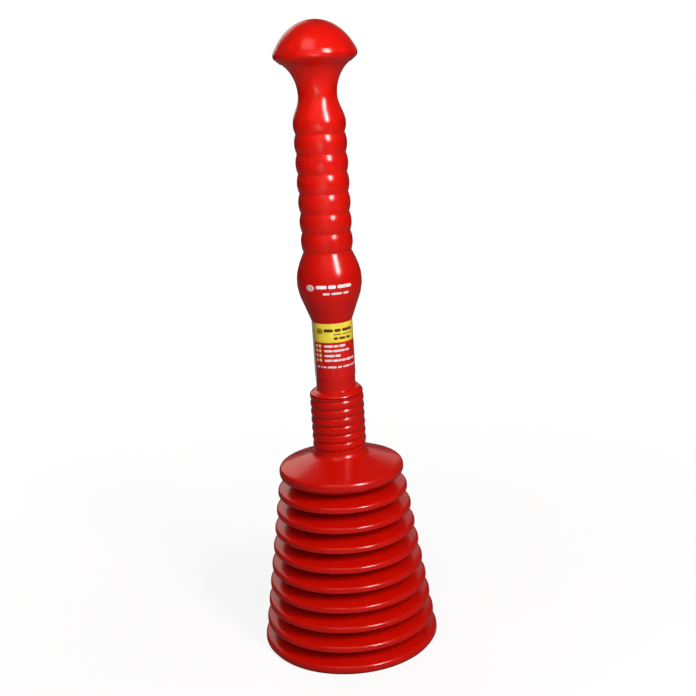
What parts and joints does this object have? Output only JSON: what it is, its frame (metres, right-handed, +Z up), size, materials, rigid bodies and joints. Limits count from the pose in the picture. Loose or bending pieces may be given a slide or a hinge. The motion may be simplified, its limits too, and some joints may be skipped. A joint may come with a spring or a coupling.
{
  "type": "bellows plunger",
  "caption": "Red bellows plunger: a soft concertina cup with a screw neck, and a hollow ribbed handle with a mushroom knob.",
  "frame": {"origin": "centre of the cup's open mouth, on the surface that the plunger stands on", "axes": "+Z up along the handle to the knob, -Y towards the front label"},
  "size_m": [0.125, 0.125, 0.4332],
  "materials": {
    "soft_red": "glossy soft blow-moulded plastic",
    "hard_red": "glossy hard blow-moulded plastic",
    "black_rubber": "matt",
    "valve_plastic": "natural",
    "label_print": "varnished print",
    "label_white": "varnished print"
  },
  "bodies": {
    "cup": {"bellows": "soft_red"},
    "top": {"neck": "soft_red"},
    "seal": {"seal_ring": "black_rubber"},
    "handle": {"handle_shell": "hard_red", "label_front": "label_print", "label_back": "label_white", "valve_seat": "valve_plastic", "valve_pin": "valve_plastic"},
    "valve": {"valve_disc": "black_rubber"}
  },
  "joints": [
    {"name": "bellows_compress", "type": "slide", "parent": "cup", "child": "top", "axis": [0, 0, -1], "range_m": [0, 0.078], "stiffness_N_per_m": 900, "springref_m": -0.006, "deforming": ["bellows"]},
    {"name": "handle_lift", "type": "slide", "parent": "top", "child": "seal", "axis": [0, 0, 1], "range_m": [0, 0.042]},
    {"name": "handle_turn", "type": "hinge", "parent": "seal", "child": "handle", "pos_m": [0, 0, 0.1838], "axis": [0, 0, 1], "range_deg": [0, 2520]},
    {"name": "valve_lift", "type": "slide", "parent": "handle", "child": "valve", "axis": [0, 0, 1], "range_m": [0, 0.002]}
  ],
  "couplings": [
    {"joint": "handle_turn", "follows": "handle_lift", "rad_per_m": 1047.2}
  ]
}
